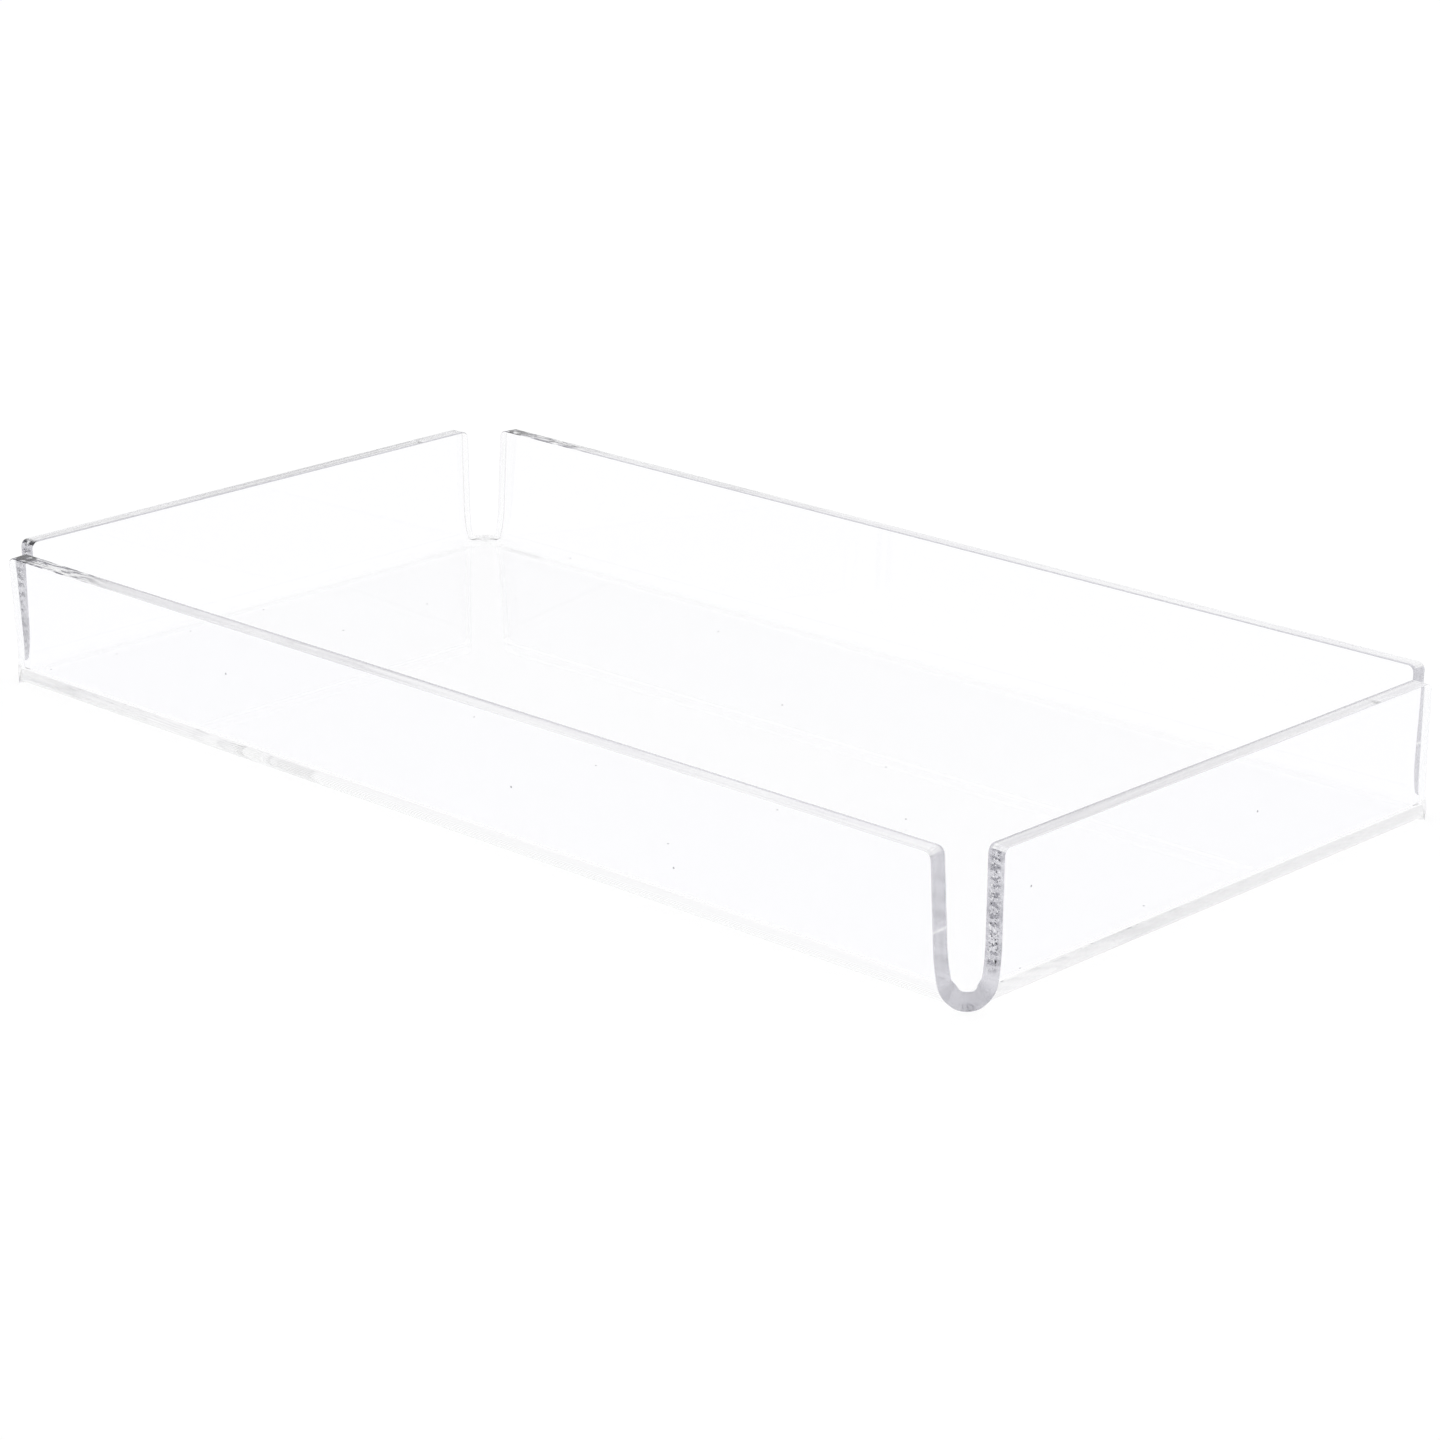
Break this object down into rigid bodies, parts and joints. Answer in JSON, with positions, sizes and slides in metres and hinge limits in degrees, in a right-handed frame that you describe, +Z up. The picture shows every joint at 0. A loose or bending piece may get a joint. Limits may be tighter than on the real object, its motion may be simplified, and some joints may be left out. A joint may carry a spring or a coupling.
{
  "type": "letter tray",
  "caption": "Shallow open rectangular tray folded from one clear acrylic sheet, with upright walls on all sides and an open U-shaped notch at each corner. Holds paper and desk items.",
  "frame": {"origin": "centre of the flat underside, on the surface that the tray stands on", "axes": "+X along the long side, +Y from front to back, +Z up"},
  "size_m": [0.4414, 0.2358, 0.048],
  "materials": {
    "clear_acrylic": "polished"
  },
  "bodies": {
    "root": {"floor_panel": "clear_acrylic", "front_bend": "clear_acrylic", "front_wall": "clear_acrylic", "right_bend": "clear_acrylic", "right_wall": "clear_acrylic", "back_bend": "clear_acrylic", "back_wall": "clear_acrylic", "left_bend": "clear_acrylic", "left_wall": "clear_acrylic"}
  },
  "joints": []
}
